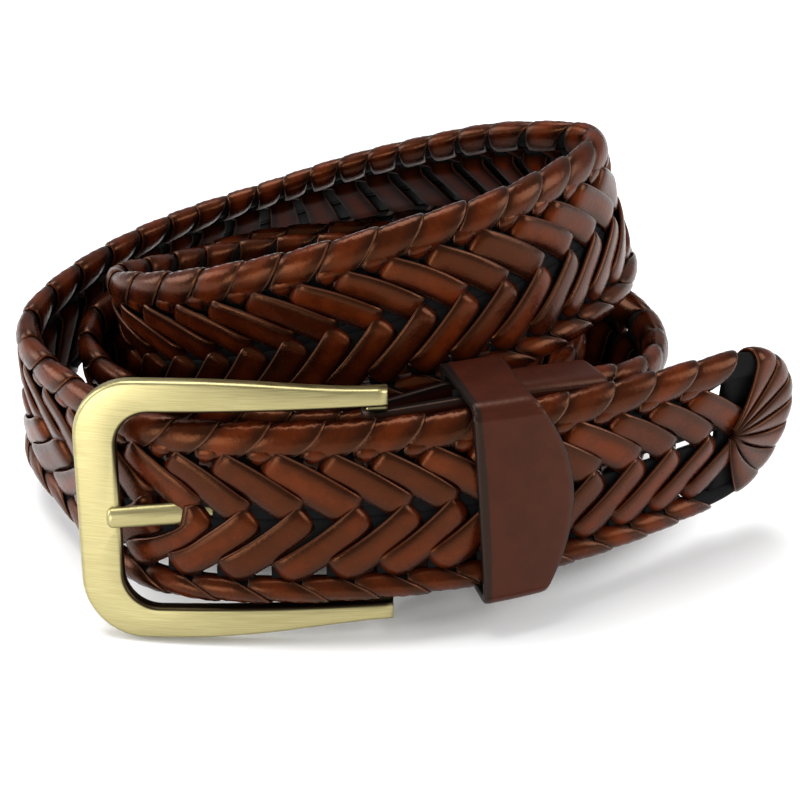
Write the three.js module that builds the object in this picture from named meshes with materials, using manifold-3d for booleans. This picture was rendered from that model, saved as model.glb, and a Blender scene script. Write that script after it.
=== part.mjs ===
// A braided leather belt, buckled into a loop and wound up in three turns on its edge.
// Millimetres, +Z up. The strap stands on its lower edges, with the buckle to the front (-Y).
import * as THREE from 'three';
import { mergeVertices } from 'three/addons/utils/BufferGeometryUtils.js';
import Module from 'manifold-3d';

const wasm = await Module();
wasm.setup();

// Strap
const strapWidth = 38;
const edgeThick = 5.2;        // the rope-like edges
const fieldThick = 4.3;       // the flat middle of the braid
const pitch = 9.7;            // from one lace crossing to the next
const laceRelief = 0.28;      // how far each band stands above the one it covers
const tipLength = 17;         // from the tip to the full width
const tipRungs = [0.035, 0.12]; // first two sections, as shares of tipLength
const firstRung = 0.4;        // the laces start this many pitches from the tip
const strapToBar = 14;        // the braid stops this far short of the buckle's bar
const coilWide = 126;         // outer turn, left to right
const coilDeep = 98;          // outer turn, front to back
const gapRows = 58;           // pitches, counted from the tip, whose two eyelets are cut through

// Buckle
const buckleLong = 61.3;
const openingClear = 1.3;     // above and below the strap
const openingHigh = strapWidth + openingClear * 2;
const armHigh = 6.5;
const armEndHigh = 3.7;
const armTaper = 1.6;         // how late along the arm it narrows
const endBarWide = 8.5;
const buckleThick = 3.5;
const buckleBevel = 0.8;
const outerCorner = 12;
const innerCorner = 7;
const buckleLean = 14;        // degrees, top towards the coil
const buckleRise = 1.5;       // degrees, climbing to the right
const buckleMid = new THREE.Vector3(-19.4, -46.2, strapWidth * 0.7);
const barDepth = 5.9;         // bar's axis behind the frame's own middle at that end
const barThick = 2.5;
const lugLong = 4.3;
const lugHigh = 3.2;
const seatGap = 0.3;

// Prong
const prongThick = 3.4;
const prongTipThick = 2.9;
const prongEye = 1.3;         // wall of the eye around the bar
const prongLow = 1.2;         // below the middle of the frame
const prongShort = 5.9;       // its end stops short of the frame's outer edge
const prongStand = 2.4;       // its axis in front of the end bar's middle

// Tab and keeper
const tabThick = 1.7;
const tabInset = 1;           // the tab is this much lower than the strap at each edge
const tabHigh = strapWidth - tabInset * 2;
const tabLong = 46;           // from the bar to the middle of its curved end
const tabCurve = 4;           // how far that end is rounded back at the corners
const tabSlotLong = 13;
const keeperWall = 2;
const keeperNarrow = 12;
const keeperFront = 18.9;     // width across the middle of its front
const keeperGap = 0.5;
const keeperAt = 76.3;        // its left edge, measured along the strap from the tip
const keeperCorner = 2.4;

// The strap's way round, seen from above it runs clockwise from the tip to the bar.
// x and y are shares of coilWide and coilDeep, lift is the lower edge's height as a share
// of strapWidth, and lean is in degrees, positive where the top leans outward.
const route = table(['x', 'y', 'lift', 'lean'], [
  // front run, from the tip
  [0.745, -0.100, 0.170, 6],
  [0.620, -0.215, 0.200, 2],
  [0.500, -0.320, 0.230, -5],
  [0.340, -0.430, 0.240, -9],
  [0.140, -0.500, 0.236, -14],
  [-0.065, -0.520, 0.228, -15],
  [-0.235, -0.495, 0.200, -14],
  // left bend
  [-0.335, -0.415, 0.160, -8],
  [-0.400, -0.295, 0.155, 0],
  [-0.470, -0.170, 0.165, 4],
  [-0.520, -0.055, 0.185, 0],
  [-0.500, 0.095, 0.225, -11],
  // back run, climbing
  [-0.425, 0.310, 0.290, -24],
  [-0.285, 0.520, 0.380, -35],
  [-0.085, 0.605, 0.545, -42],
  [0.115, 0.560, 0.790, -43],
  // raised bend, over the two turns below
  [0.280, 0.450, 1.000, -42],
  [0.385, 0.310, 1.090, -32],
  [0.455, 0.225, 1.070, -19],
  [0.458, 0.122, 1.050, -11],
  // inner front run, coming down
  [0.395, -0.010, 1.080, -13],
  [0.300, -0.150, 1.080, -15],
  [0.165, -0.225, 1.030, -12],
  [-0.010, -0.250, 0.870, -4],
  [-0.175, -0.195, 0.660, 2],
  // inner left bend
  [-0.305, -0.070, 0.450, 6],
  [-0.360, 0.055, 0.280, 6],
  [-0.310, 0.190, 0.165, 4],
  // inner back run
  [-0.205, 0.310, 0.095, 2],
  [-0.060, 0.380, 0.060, 1],
  [0.100, 0.395, 0.040, 2],
  [0.240, 0.345, 0.020, 4],
  // right bend under the raised one
  [0.345, 0.225, 0, 8],
  [0.385, 0.050, 0, 12],
  [0.352, -0.118, 0, 9],
  // front run between the inner and the outer one
  [0.235, -0.224, 0, 5],
  [0.045, -0.320, 0, 3],
  [-0.165, -0.284, 0, 5],
  // middle left bend
  [-0.330, -0.175, 0.010, 8],
  [-0.412, -0.015, 0.020, 8],
  [-0.392, 0.155, 0.020, 5],
  [-0.290, 0.315, 0.010, 3],
  // middle back run
  [-0.160, 0.433, 0, 5],
  [0.005, 0.473, 0, 6],
  [0.165, 0.463, 0, 5],
  [0.305, 0.390, 0, 6],
  // low right bend
  [0.420, 0.260, 0, 8],
  [0.505, 0.115, 0, 10],
  [0.520, -0.035, 0.010, 8],
  [0.480, -0.165, 0.070, 6],
  // behind the front run, into the tab
  [0.395, -0.260, 0.165, 1],
  [0.275, -0.343, 0.232, -5],
  [0.150, -0.394, 0.232, -11],
  [0.085, -0.421, 0.225, -14],
]);

// Lines along the strap. across is a share of half the width; thick a share of half the edge or
// field thickness; shift is how far a lace runs towards the tip there, in pitches.
const outerLines = table(['across', 'thick', 'of', 'shift'], [
  [0.955, 0.58, 'edge', 0.80],
  [0.815, 1.00, 'edge', 0.50],
  [0.668, 0.86, 'field', 0],
  [0.521, 0.94, 'field', 0],
  [0.263, 1.00, 'field', 0.50],
  [0, 0.94, 'field', 1],
  [-0.263, 1.00, 'field', 0.50],
  [-0.521, 0.94, 'field', 0],
  [-0.668, 0.86, 'field', 0],
  [-0.815, 1.00, 'edge', 0.50],
  [-0.955, 0.58, 'edge', 0.80],
]);
const innerLines = table(['across', 'thick', 'of', 'shift'], [
  [-0.850, -1.00, 'edge', 0.55],
  [-0.668, -0.86, 'field', 0],
  [-0.521, -0.94, 'field', 0],
  [0, -0.94, 'field', 0],
  [0.521, -0.94, 'field', 0],
  [0.668, -0.86, 'field', 0],
  [0.850, -1.00, 'edge', 0.55],
]);
const apexShift = 0.9;
const riseShare = 0.4;        // share of a pitch where a band rises over the next
const shiftFade = 3;          // pitches over which the laces straighten at both ends

// Colours and finishes
const laceBrown = 0x6b2f19;
const tabBrown = 0x6e3320;
const brassGold = 0xa39a62;
const leatherRough = 0.42;
const brassRough = 0.35;

function table(names, rows) {
  return rows.map(row => Object.fromEntries(names.map((name, i) => [name, row[i]])));
}

function radians(degrees) {
  return degrees * Math.PI / 180;
}

function mix(a, b, t) {
  return a + (b - a) * t;
}

function smooth(t) {
  const u = Math.min(Math.max(t, 0), 1);
  return u * u * (3 - 2 * u);
}

// The route as a uniform cubic B-spline over its rows
function routeValue(name, u) {
  const last = route.length - 1;
  const i = Math.min(Math.floor(u), last - 1);
  const t = u - i;
  const at = k => {
    if (k < 0) return 2 * route[0][name] - route[1][name];
    if (k > last) return 2 * route[last][name] - route[last - 1][name];
    return route[k][name];
  };
  return ((1 - t) ** 3 * at(i - 1)
    + (3 * t ** 3 - 6 * t ** 2 + 4) * at(i)
    + (-3 * t ** 3 + 3 * t ** 2 + 3 * t + 1) * at(i + 1)
    + t ** 3 * at(i + 2)) / 6;
}

function routeCentre(u) {
  const lean = radians(routeValue('lean', u));
  return new THREE.Vector3(
    routeValue('x', u) * coilWide,
    routeValue('y', u) * coilDeep,
    routeValue('lift', u) * strapWidth + strapWidth / 2 * Math.cos(lean),
  );
}

// Walk along the route once, so that places can be asked for by length from the tip
const walkSteps = 3000;
const walk = [{ u: 0, length: 0 }];
{
  let before = routeCentre(0);
  for (let i = 1; i <= walkSteps; i++) {
    const u = i / walkSteps * (route.length - 1);
    const now = routeCentre(u);
    walk.push({ u, length: walk[i - 1].length + now.distanceTo(before) });
    before = now;
  }
}
const routeLength = walk[walkSteps].length;
const strapLength = routeLength - strapToBar;

function uAtLength(s) {
  let low = 0;
  let high = walkSteps;
  while (high - low > 1) {
    const middle = (low + high) >> 1;
    if (walk[middle].length <= s) low = middle;
    else high = middle;
  }
  const part = (s - walk[low].length) / (walk[high].length - walk[low].length);
  return mix(walk[low].u, walk[high].u, part);
}

// The strap's own axes at a length from the tip: along, across (up) and outward
function strapFrame(s) {
  const u = Math.min(Math.max(uAtLength(s), 0), route.length - 1);
  const step = 0.01;
  const lean = radians(routeValue('lean', u));
  const ahead = routeCentre(Math.min(u + step, route.length - 1));
  const along = ahead.sub(routeCentre(Math.max(u - step, 0))).normalize();
  const level = new THREE.Vector3(-along.y, along.x, 0).normalize();
  const up = new THREE.Vector3().crossVectors(along, level);
  if (up.z < 0) up.negate();
  const across = up.clone().multiplyScalar(Math.cos(lean)).addScaledVector(level, Math.sin(lean));
  const outward = level.multiplyScalar(Math.cos(lean)).addScaledVector(up, -Math.sin(lean));
  return { centre: routeCentre(u), along, across, outward };
}

function onStrap(s, v, n) {
  const f = strapFrame(s);
  return f.centre.addScaledVector(f.across, v).addScaledVector(f.outward, n);
}

// A closed mesh from named vertices, with quads split along the diagonal that is asked for
function meshMaker() {
  const points = [];
  const faces = [];
  return {
    add(point) {
      points.push(point.x, point.y, point.z);
      return points.length / 3 - 1;
    },
    tri(a, b, c) {
      faces.push(a, b, c);
    },
    quad(a, b, c, d) {
      faces.push(a, b, c, a, c, d);
    },
    geometry() {
      const made = new THREE.BufferGeometry();
      made.setAttribute('position', new THREE.Float32BufferAttribute(points, 3));
      made.setIndex(faces);
      return made;
    },
  };
}

function toSolid(geometry) {
  const bare = geometry.clone();
  bare.deleteAttribute('normal');
  bare.deleteAttribute('uv');
  const merged = mergeVertices(bare, 1e-4);
  return new wasm.Manifold(new wasm.Mesh({
    numProp: 3,
    vertProperties: Float32Array.from(merged.attributes.position.array),
    triVerts: Uint32Array.from(merged.index.array),
  }));
}

function toGeometry(solid) {
  const mesh = solid.getMesh();
  const made = new THREE.BufferGeometry();
  made.setAttribute('position', new THREE.Float32BufferAttribute(mesh.vertProperties, 3));
  made.setIndex(Array.from(mesh.triVerts));
  return made;
}

// Rungs along the strap: two to a pitch, where a band is low and where it has risen
function strapRungs() {
  const rungs = tipRungs.map(share => ({ s: tipLength * share, high: false }));
  const laced = strapLength - pitch * firstRung;
  const pitches = Math.round(laced / pitch);
  const step = laced / pitches;
  for (let k = 0; k < pitches; k++) {
    const start = pitch * firstRung + k * step;
    rungs.push({ s: start, high: false, gap: k >= 2 && k < gapRows });
    rungs.push({ s: start + step * riseShare, high: true });
  }
  rungs.push({ s: strapLength, high: false });
  return rungs;
}

function halfWidth(s) {
  const back = Math.max(1 - s / tipLength, 0);
  return strapWidth / 2 * Math.sqrt(1 - back * back);
}

function braidedStrap() {
  const maker = meshMaker();
  const rungs = strapRungs();
  const lineOf = row => ({
    across: row.across,
    out: row.thick * (row.of === 'edge' ? edgeThick : fieldThick) / 2,
    shift: row.shift,
  });
  const lines = [
    { across: 1, out: 0, shift: apexShift },
    ...outerLines.map(lineOf),
    { across: -1, out: 0, shift: apexShift },
    ...innerLines.map(lineOf),
  ];
  const count = lines.length;
  const grid = rungs.map(rung => lines.map(line => {
    const fade = smooth((rung.s - tipLength / 2) / (shiftFade * pitch))
      * smooth((strapLength - rung.s) / (shiftFade * pitch));
    const s = rung.s - line.shift * pitch * fade;
    const relief = Math.sign(line.out) * laceRelief * (rung.high ? 1 : -1) / 2;
    return maker.add(onStrap(s, line.across * halfWidth(rung.s), line.out + relief));
  }));
  const lineAt = (out, across) => lines.findIndex(l => Math.sign(l.out) === out && l.across === across);
  const gaps = [[0.668, 0.521], [-0.521, -0.668]].map(([top, bottom]) => ({
    outTop: lineAt(1, top),
    outBottom: lineAt(1, bottom),
    inTop: lineAt(-1, top),
    inBottom: lineAt(-1, bottom),
  }));
  for (let i = 0; i < rungs.length - 1; i++) {
    const a = grid[i];
    const b = grid[i + 1];
    const open = rungs[i].gap ? gaps : [];
    for (let j = 0; j < count; j++) {
      const k = (j + 1) % count;
      if (open.some(gap => j === gap.outTop || j === gap.inBottom)) continue;
      if (lines[k].shift > lines[j].shift) {
        maker.tri(a[j], b[k], a[k]);
        maker.tri(a[j], b[j], b[k]);
      } else {
        maker.tri(a[j], b[j], a[k]);
        maker.tri(b[j], b[k], a[k]);
      }
    }
    for (const gap of open) {
      maker.quad(a[gap.outTop], b[gap.outTop], b[gap.inTop], a[gap.inTop]);
      maker.quad(a[gap.inBottom], b[gap.inBottom], b[gap.outBottom], a[gap.outBottom]);
      maker.quad(a[gap.outTop], a[gap.inTop], a[gap.inBottom], a[gap.outBottom]);
      maker.quad(b[gap.outTop], b[gap.outBottom], b[gap.inBottom], b[gap.inTop]);
    }
  }
  for (const [rung, forward] of [[0, true], [rungs.length - 1, false]]) {
    const ring = grid[rung];
    const middle = maker.add(strapFrame(rungs[rung].s).centre);
    for (let j = 0; j < count; j++) {
      const k = (j + 1) % count;
      if (forward) maker.tri(middle, ring[j], ring[k]);
      else maker.tri(middle, ring[k], ring[j]);
    }
  }
  return maker.geometry();
}

// The buckle's own axes: a runs right, h up the leaning frame, t out of its face
const buckleAxes = (() => {
  const rise = radians(buckleRise);
  const lean = radians(buckleLean);
  const right = new THREE.Vector3(Math.cos(rise), 0, Math.sin(rise));
  const up = new THREE.Vector3(0, Math.sin(lean), Math.cos(lean));
  up.addScaledVector(right, -up.dot(right)).normalize();
  return { right, up, out: new THREE.Vector3().crossVectors(right, up) };
})();

// How far the frame bows out of its flat plane, by share of its length from the left
const bowRows = table(['at', 'out'], [
  [0, 0],
  [0.25, 0.036],
  [0.55, 0.054],
  [0.80, 0.044],
  [1, 0.028],
]);

function buckleBow(a) {
  const share = Math.min(Math.max(a / buckleLong + 0.5, 0), 1);
  const curve = new THREE.SplineCurve(bowRows.map(row => new THREE.Vector2(row.at, row.out)));
  let low = 0;
  let high = 1;
  for (let i = 0; i < 20; i++) {
    const middle = (low + high) / 2;
    if (curve.getPoint(middle).x < share) low = middle;
    else high = middle;
  }
  return curve.getPoint(low).y * buckleLong;
}

function onBuckle(a, h, t) {
  return buckleMid.clone()
    .addScaledVector(buckleAxes.right, a)
    .addScaledVector(buckleAxes.up, h)
    .addScaledVector(buckleAxes.out, t + buckleBow(a));
}

// Outer and inner outline points in pairs, from the end of the upper arm round to the lower one
function buckleOutline() {
  const right = buckleLong / 2;
  const left = -buckleLong / 2;
  const innerLeft = left + endBarWide;
  const half = openingHigh / 2;
  const cornerAt = left + outerCorner;
  const taper = a => smooth((a - cornerAt) / (right - cornerAt)) ** armTaper;
  const armAt = a => half + mix(armHigh, armEndHigh, taper(a));
  const arm = [];
  const armSteps = 7;
  for (let i = 0; i <= armSteps; i++) {
    const share = i / armSteps;
    const outA = mix(right, cornerAt, share);
    const inA = mix(right, innerLeft + innerCorner, share);
    arm.push({ out: [outA, armAt(outA)], in: [inA, half] });
  }
  const corner = [];
  const cornerSteps = 5;
  for (let i = 1; i <= cornerSteps; i++) {
    const angle = i / cornerSteps * Math.PI / 2;
    const top = half + armHigh;
    corner.push({
      out: [cornerAt - Math.sin(angle) * outerCorner, top - (1 - Math.cos(angle)) * outerCorner],
      in: [innerLeft + innerCorner * (1 - Math.sin(angle)), half - (1 - Math.cos(angle)) * innerCorner],
    });
  }
  const upper = [...arm, ...corner];
  const middle = [0.4, 0, -0.4].map(share => ({
    out: [left, share * (half + armHigh - outerCorner)],
    in: [innerLeft, share * (half - innerCorner)],
  }));
  const lower = upper.map(pair => ({
    out: [pair.out[0], -pair.out[1]],
    in: [pair.in[0], -pair.in[1]],
  })).reverse();
  return [...upper, ...middle, ...lower];
}

function buckleRing() {
  const maker = meshMaker();
  const half = buckleThick / 2;
  const rings = buckleOutline().map(pair => {
    const out = new THREE.Vector2(...pair.out);
    const inside = new THREE.Vector2(...pair.in);
    const inward = inside.clone().sub(out).normalize().multiplyScalar(buckleBevel);
    const outNear = out.clone().add(inward);
    const inNear = inside.clone().sub(inward);
    const corners = [
      [out, half - buckleBevel], [outNear, half], [inNear, half], [inside, half - buckleBevel],
      [inside, buckleBevel - half], [inNear, -half], [outNear, -half], [out, buckleBevel - half],
    ];
    return corners.map(([place, t]) => maker.add(onBuckle(place.x, place.y, t)));
  });
  for (let i = 0; i < rings.length - 1; i++) {
    const a = rings[i];
    const b = rings[i + 1];
    for (let j = 0; j < a.length; j++) {
      const k = (j + 1) % a.length;
      maker.quad(a[j], b[j], b[k], a[k]);
    }
  }
  for (const [ring, first] of [[rings[0], true], [rings[rings.length - 1], false]]) {
    for (let j = 1; j < ring.length - 1; j++) {
      if (first) maker.tri(ring[0], ring[j], ring[j + 1]);
      else maker.tri(ring[0], ring[j + 1], ring[j]);
    }
  }
  return maker.geometry();
}

// Bar: along the frame's own up, behind the right-hand ends of the arms
const barAt = { a: buckleLong / 2 - lugLong / 2, t: -barDepth };
const barCentre = onBuckle(barAt.a, 0, barAt.t);
const barHalf = openingHigh / 2 + lugHigh / 2 - seatGap * 2;

function turnTo(geometry, xAxis, yAxis, zAxis, origin) {
  const matrix = new THREE.Matrix4().makeBasis(xAxis, yAxis, zAxis).setPosition(origin);
  return geometry.applyMatrix4(matrix);
}

function barCylinder(radius, halfLong, sides) {
  const made = new THREE.CylinderGeometry(radius, radius, halfLong * 2, sides);
  const { right, up, out } = buckleAxes;
  return turnTo(made, right, up, out, barCentre);
}

function buckleBox(long, high, deep, a, h, t) {
  const { right, up, out } = buckleAxes;
  return turnTo(new THREE.BoxGeometry(long, high, deep), right, up, out, onBuckle(a, h, t));
}

// Prong: a straight rod from an eye on the bar, through the braid, to the notch in the end bar
const prongEnd = onBuckle(-buckleLong / 2 + prongShort, -prongLow, prongStand);
const prongStart = onBuckle(barAt.a, -prongLow, barAt.t);
const eyeInner = barThick / 2 + seatGap;
const eyeOuter = eyeInner + prongEye;

function prongRod(grow, from, sides) {
  const along = prongEnd.clone().sub(prongStart);
  const length = along.length();
  along.normalize();
  const start = prongThick / 2 + grow;
  const end = prongTipThick / 2 + grow;
  const profile = [
    [0, from], [start, from], [start, length * 0.55], [end, length - end * 0.7],
    [end * 0.72, length - end * 0.2], [0, length + grow],
  ].map(([r, y]) => new THREE.Vector2(r, y));
  const made = new THREE.LatheGeometry(profile, sides);
  const side = new THREE.Vector3().crossVectors(along, buckleAxes.up).normalize();
  const up = new THREE.Vector3().crossVectors(side, along);
  return turnTo(made, side, along, up, prongStart);
}

function prong() {
  const eye = new THREE.Shape().absarc(0, 0, eyeOuter, 0, Math.PI * 2);
  const ring = new THREE.ExtrudeGeometry(eye, { depth: prongThick, bevelEnabled: false, curveSegments: 7 });
  ring.translate(0, 0, -prongThick / 2);
  const { right, up, out } = buckleAxes;
  turnTo(ring, right, out.clone().negate(), up, prongStart);
  const hole = barCylinder(eyeInner, barHalf, 14);
  return toGeometry(toSolid(ring).add(toSolid(prongRod(0, eyeInner, 10))).subtract(toSolid(hole)));
}

function buckleFrame() {
  const deep = barDepth + eyeInner + 1;
  let solid = toSolid(buckleRing());
  for (const side of [1, -1]) {
    const high = side * openingHigh / 2;
    const lug = buckleBox(lugLong, lugHigh, deep, barAt.a, high, -deep / 2);
    solid = solid.add(toSolid(lug));
  }
  const bore = barCylinder(barThick / 2 + seatGap, barHalf + seatGap, 12);
  // the front run keeps a clear way in front of the lugs
  const strapWayMid = edgeThick - buckleThick / 2;
  const strapWay = buckleBox(lugLong * 3, openingHigh, edgeThick * 2, barAt.a, 0, strapWayMid);
  return toGeometry(solid
    .subtract(toSolid(bore))
    .subtract(toSolid(strapWay))
    .subtract(toSolid(prongRod(seatGap, prongThick, 10))));
}

function braidedStrapCut() {
  const slot = toSolid(prongRod(seatGap * 1.5, prongThick, 10));
  return toGeometry(toSolid(braidedStrap()).subtract(slot));
}

// Tab: one strip of leather folded round the bar, with the end of the braid between its layers
function buckleTab() {
  const maker = meshMaker();
  const layerIn = edgeThick / 2 + laceRelief / 2 + seatGap;
  const layerOut = layerIn + tabThick;
  const foldIn = barThick / 2 + seatGap;
  const foldOut = foldIn + tabThick;
  const toStrap = strapFrame(routeLength - strapToBar).centre.sub(barCentre);
  toStrap.addScaledVector(buckleAxes.up, -toStrap.dot(buckleAxes.up)).normalize();
  const outward = new THREE.Vector3().crossVectors(toStrap, buckleAxes.up);
  const levels = [-1, -0.5, 0, 0.5, 1];
  const layerShares = [0, 0.25, 0.5, 0.75, 1];
  const foldSteps = 8;
  const stations = [];
  const layer = (share, side) => ({
    place(level, skin) {
      const curve = tabCurve * level * level * (1 - share);
      const s = mix(routeLength - tabLong + curve, strapLength + seatGap, share);
      return onStrap(s, level * tabHigh / 2, side * (skin ? layerOut : layerIn));
    },
  });
  for (const share of layerShares) stations.push(layer(share, 1));
  for (let i = 0; i <= foldSteps; i++) {
    const angle = Math.PI * (0.5 - i / foldSteps);
    stations.push({
      place(level, skin) {
        const radius = skin ? foldOut : foldIn;
        return barCentre.clone()
          .addScaledVector(buckleAxes.up, level * tabHigh / 2)
          .addScaledVector(toStrap, -Math.cos(angle) * radius)
          .addScaledVector(outward, Math.sin(angle) * radius);
      },
    });
  }
  for (const share of [...layerShares].reverse()) stations.push(layer(share, -1));
  const skins = [true, false].map(skin => stations.map(station =>
    levels.map(level => maker.add(station.place(level, skin)))));
  const [outer, inner] = skins;
  const lastLevel = levels.length - 1;
  for (let i = 0; i < stations.length - 1; i++) {
    for (let j = 0; j < lastLevel; j++) {
      maker.quad(outer[i][j], outer[i][j + 1], outer[i + 1][j + 1], outer[i + 1][j]);
      maker.quad(inner[i][j], inner[i + 1][j], inner[i + 1][j + 1], inner[i][j + 1]);
    }
    maker.quad(outer[i][0], outer[i + 1][0], inner[i + 1][0], inner[i][0]);
    maker.quad(outer[i][lastLevel], inner[i][lastLevel], inner[i + 1][lastLevel], outer[i + 1][lastLevel]);
  }
  const end = stations.length - 1;
  for (let j = 0; j < lastLevel; j++) {
    maker.quad(outer[0][j], inner[0][j], inner[0][j + 1], outer[0][j + 1]);
    maker.quad(outer[end][j], outer[end][j + 1], inner[end][j + 1], inner[end][j]);
  }
  const slotHigh = prongThick + 1.4;
  const slot = new THREE.BoxGeometry(tabSlotLong, slotHigh, foldOut * 4);
  const slotAt = barCentre.clone()
    .addScaledVector(toStrap, tabSlotLong / 2 - foldOut * 1.5)
    .addScaledVector(buckleAxes.up, -prongLow);
  turnTo(slot, toStrap, buckleAxes.up, outward, slotAt);
  return toGeometry(toSolid(maker.geometry()).subtract(toSolid(slot)));
}

// Length from the tip, on the part of the route behind, that lies nearest to a point
function nearestOnTab(point) {
  let best = routeLength;
  let bestGap = Infinity;
  for (let s = routeLength - tabLong - pitch; s <= routeLength; s += 0.25) {
    const gap = strapFrame(s).centre.setZ(0).distanceTo(point.clone().setZ(0));
    if (gap < bestGap) {
      bestGap = gap;
      best = s;
    }
  }
  return best;
}

// Keeper: a loop round the front run and the tab, wider across the middle of its front
function keeper() {
  const maker = meshMaker();
  const frontIn = edgeThick / 2 + laceRelief / 2 + keeperGap;
  const backIn = edgeThick / 2 + laceRelief / 2 + seatGap + tabThick + keeperGap;
  const highIn = strapWidth / 2 + keeperGap;
  const behind = s => nearestOnTab(strapFrame(s).centre);
  const leftEdge = keeperAt;
  const frontCornerIn = keeperCorner * 0.7;
  const backCornerIn = keeperCorner * 0.35;
  const frontRows = [-0.92, -0.6, -0.3, 0, 0.3, 0.6, 0.92];
  const backRows = [0.92, 0, -0.92];
  const station = (front, share, cornerIn, cornerOut) => ({
    place(skin, along) {
      const high = share * (highIn + (skin ? keeperWall : 0));
      const bulge = front ? (keeperFront - keeperNarrow) * (1 - share * share) : 0;
      const s = leftEdge - along * (keeperNarrow + bulge);
      const depth = (front ? frontIn : backIn) + (skin ? keeperWall : 0) - (skin ? cornerOut : cornerIn);
      return front ? onStrap(s, high, depth) : onStrap(behind(s), high, -depth);
    },
  });
  const stations = [];
  for (const share of frontRows) stations.push(station(true, share, 0, 0));
  stations.push(station(true, 1, frontCornerIn, keeperCorner));
  stations.push(station(false, 1, backCornerIn, keeperCorner));
  for (const share of backRows) stations.push(station(false, share, 0, 0));
  stations.push(station(false, -1, backCornerIn, keeperCorner));
  stations.push(station(true, -1, frontCornerIn, keeperCorner));
  const columns = [0, 0.5, 1];
  const sheet = skin => stations.map(st => columns.map(along => maker.add(st.place(skin, along))));
  const outer = sheet(true);
  const inner = sheet(false);
  const right = columns.length - 1;
  for (let i = 0; i < stations.length; i++) {
    const k = (i + 1) % stations.length;
    for (let j = 0; j < right; j++) {
      maker.quad(outer[i][j], outer[i][j + 1], outer[k][j + 1], outer[k][j]);
      maker.quad(inner[i][j], inner[k][j], inner[k][j + 1], inner[i][j + 1]);
    }
    maker.quad(outer[i][0], outer[k][0], inner[k][0], inner[i][0]);
    maker.quad(outer[i][right], inner[i][right], inner[k][right], outer[k][right]);
  }
  return maker.geometry();
}

function piece(name, geometry, color, roughness, metalness) {
  geometry.computeVertexNormals();
  const mesh = new THREE.Mesh(geometry, new THREE.MeshStandardMaterial({ color, roughness, metalness }));
  mesh.name = name;
  return mesh;
}

const belt = new THREE.Group();
belt.add(
  piece('braided_strap', braidedStrapCut(), laceBrown, leatherRough, 0),
  piece('buckle_frame', buckleFrame(), brassGold, brassRough, 1),
  piece('buckle_bar', barCylinder(barThick / 2, barHalf, 12), brassGold, brassRough, 1),
  piece('prong', prong(), brassGold, brassRough, 1),
  piece('buckle_tab', buckleTab(), tabBrown, leatherRough, 0),
  piece('keeper', keeper(), tabBrown, leatherRough, 0),
);

// The origin goes to the middle of the belt's outer box, on the surface that it stands on
const box = new THREE.Box3().setFromObject(belt, true);
belt.position.set(-(box.min.x + box.max.x) / 2, -(box.min.y + box.max.y) / 2, -box.min.z);

export default belt;
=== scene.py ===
# Braided belt, buckled and wound up on its edge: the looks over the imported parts.
# Lengths are millimetres along the strap (s), across it (v, up) and out of it (n); addMesh turns them
# to metres.
import math
import random

import bpy
import numpy as np
from mathutils import Matrix, Vector


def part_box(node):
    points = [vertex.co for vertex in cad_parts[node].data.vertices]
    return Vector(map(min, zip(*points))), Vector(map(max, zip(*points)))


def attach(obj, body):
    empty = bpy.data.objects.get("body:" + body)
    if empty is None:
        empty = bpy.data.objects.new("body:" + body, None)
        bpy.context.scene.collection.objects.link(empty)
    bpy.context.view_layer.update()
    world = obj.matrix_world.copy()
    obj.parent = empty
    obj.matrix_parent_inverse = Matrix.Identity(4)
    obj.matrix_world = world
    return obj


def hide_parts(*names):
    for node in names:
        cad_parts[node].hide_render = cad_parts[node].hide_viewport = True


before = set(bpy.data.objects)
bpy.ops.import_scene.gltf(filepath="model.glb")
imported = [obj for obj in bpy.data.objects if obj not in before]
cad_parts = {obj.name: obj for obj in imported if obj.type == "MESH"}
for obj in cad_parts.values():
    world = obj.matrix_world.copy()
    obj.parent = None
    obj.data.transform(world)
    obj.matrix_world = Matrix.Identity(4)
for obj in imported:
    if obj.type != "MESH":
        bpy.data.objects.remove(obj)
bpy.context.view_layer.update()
random.seed(11)
print("frame loaded:", sorted(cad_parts))


# Camera, at the photo's view
view = {
    "target": (-0.00055, 0.00526, 0.0130),
    "elevation": 33.0,
    "distance": 0.533,
    "lens": 109.5,
}


def addCamera(settings):
    tilt = math.radians(settings["elevation"])
    back = Vector((0, -math.cos(tilt), math.sin(tilt)))
    data = bpy.data.cameras.new("camera")
    data.lens = settings["lens"]
    data.sensor_width = 36
    data.clip_start = 0.01
    camera = bpy.data.objects.new("camera", data)
    camera.location = Vector(settings["target"]) + back * settings["distance"]
    camera.rotation_euler = (math.pi / 2 - tilt, 0, 0)
    bpy.context.scene.collection.objects.link(camera)
    bpy.context.scene.camera = camera


addCamera(view)


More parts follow.
